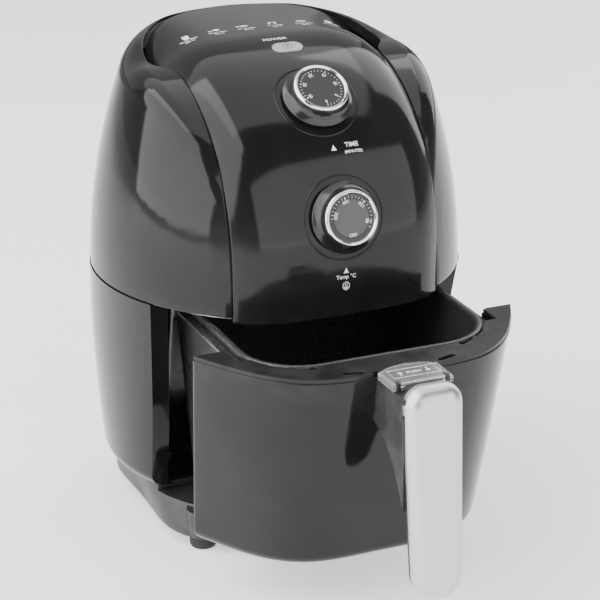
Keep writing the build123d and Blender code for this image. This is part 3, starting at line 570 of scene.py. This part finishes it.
def print_on_top(name, shape, tree, cx, cy, look, body, lift=0.0001):
    verts = []
    for x, y in shape[0]:
        spot, _, _, _ = tree.ray_cast(Vector((cx + x, cy + y, 0.5)), Vector((0, 0, -1)))
        verts.append(spot + Vector((0, 0, lift)) if spot else Vector((cx + x, cy + y, 0.0)))
    return piece(name, verts, shape[1], look, body)


bolt = polygon(((0.0002, 0.0019), (-0.0012, -0.0003), (-0.0001, -0.0003),
                (-0.0003, -0.0019), (0.0012, 0.0004), (0.0001, 0.0004)))
lens_x = (lens_low[0] + lens_high[0]) / 2
lens_y = (lens_low[1] + lens_high[1]) / 2
lens_mark = joined((bolt, strip(arc_points(0.0030, 0, 345, 22), 0.0004, True)))
print_on_top("lens_mark", lens_mark, lens_tree, lens_x, lens_y, MATTE, "machine")

guard_low, guard_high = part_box("button_guard")
guard_tree = surface_of("button_guard")
guard_mid_y = (guard_low[1] + guard_high[1]) / 2
arrow = joined((polygon(((-0.0016, 0.0), (0.0016, 0.0), (0.0, 0.0022))),
                strip(((0, -0.0026), (0, 0.0002)), 0.0009)))
frame_line = strip(((-0.0135, -0.0058), (0.0135, -0.0058), (0.0135, 0.0042), (-0.0135, 0.0042)),
                   0.0005, True)
guard_lines = joined((frame_line, shifted(arrow, -0.008, -0.0008), shifted(arrow, 0.008, -0.0008, 180),
                      shifted(flat_text("PUSH", 0.0036), 0.0, -0.0008)))
print_on_top("guard_lines", guard_lines, guard_tree, 0.0, guard_mid_y, INK, "guard")


# ---- floor and light ------------------------------------------------------------------
def floor_material():
    n = Nodes("floor")
    tone = n.ramp(n.noise(2.0, 4.0), ((0.3, (0.84, 0.84, 0.84)), (0.7, (0.88, 0.88, 0.88))))
    n.link(tone, n.shader.inputs["Base Color"])
    n.link(tone, n.shader.inputs["Emission Color"])
    n.shader.inputs["Emission Strength"].default_value = 0.9
    n.link(n.span(n.noise(40.0, 4.0), 0.55, 0.70), n.shader.inputs["Roughness"])
    return n.material


floor_mesh = bpy.data.meshes.new("floor")
corners = [(x * FLOOR_REACH, y * FLOOR_REACH, 0) for x, y in ((-1, -1), (1, -1), (1, 1), (-1, 1))]
floor_mesh.from_pydata(corners, [], [(0, 1, 2, 3)])
floor_mesh.materials.append(floor_material())
floor = bpy.data.objects.new("floor", floor_mesh)
bpy.context.scene.collection.objects.link(floor)


def softbox(name, azimuth, elevation, distance, width, height, radiance, target=(0, 0.03, 0.15)):
    """Area light; azimuth is measured from the front (-Y) towards the left (-X)."""
    a, e = math.radians(azimuth), math.radians(elevation)
    way = Vector((-math.sin(a) * math.cos(e), -math.cos(a) * math.cos(e), math.sin(e)))
    spot = way * distance + Vector(target)
    data = bpy.data.lights.new(name, "AREA")
    data.shape = "RECTANGLE"
    data.size = width
    data.size_y = height
    data.energy = radiance * width * height * math.pi
    lamp = bpy.data.objects.new(name, data)
    lamp.location = spot
    lamp.rotation_euler = (spot - Vector(target)).to_track_quat("Z", "Y").to_euler()
    bpy.context.scene.collection.objects.link(lamp)
    return lamp


softbox("left_box", 90, 34, 1.7, 2.2, 2.5, 4.6)
softbox("front_box", -18, 20, 2.0, 3.4, 1.75, 2.4)
softbox("top_box", 180, 78, 1.7, 2.2, 2.0, 2.0)
softbox("right_box", -118, 30, 1.9, 1.1, 1.8, 3.0)
softbox("back_box", 180, 30, 2.4, 3.6, 1.4, 0.5)

world = bpy.data.worlds.new("studio")
bpy.context.scene.world = world
world.use_nodes = True
tree = world.node_tree
coords = tree.nodes.new("ShaderNodeTexCoord")
parts = tree.nodes.new("ShaderNodeSeparateXYZ")
sky = tree.nodes.new("ShaderNodeValToRGB")
stops = ((0.0, 1.0), (0.25, 0.5), (0.5, 0.25), (0.85, 0.2))
while len(sky.color_ramp.elements) < len(stops):
    sky.color_ramp.elements.new(0.5)
for element, (spot, value) in zip(sky.color_ramp.elements, stops):
    element.position = spot
    element.color = (value, value, value, 1.0)
tree.links.new(coords.outputs["Generated"], parts.inputs["Vector"])
tree.links.new(parts.outputs["Z"], sky.inputs["Fac"])
tree.links.new(sky.outputs["Color"], tree.nodes["Background"].inputs["Color"])
tree.nodes["Background"].inputs["Strength"].default_value = 0.45
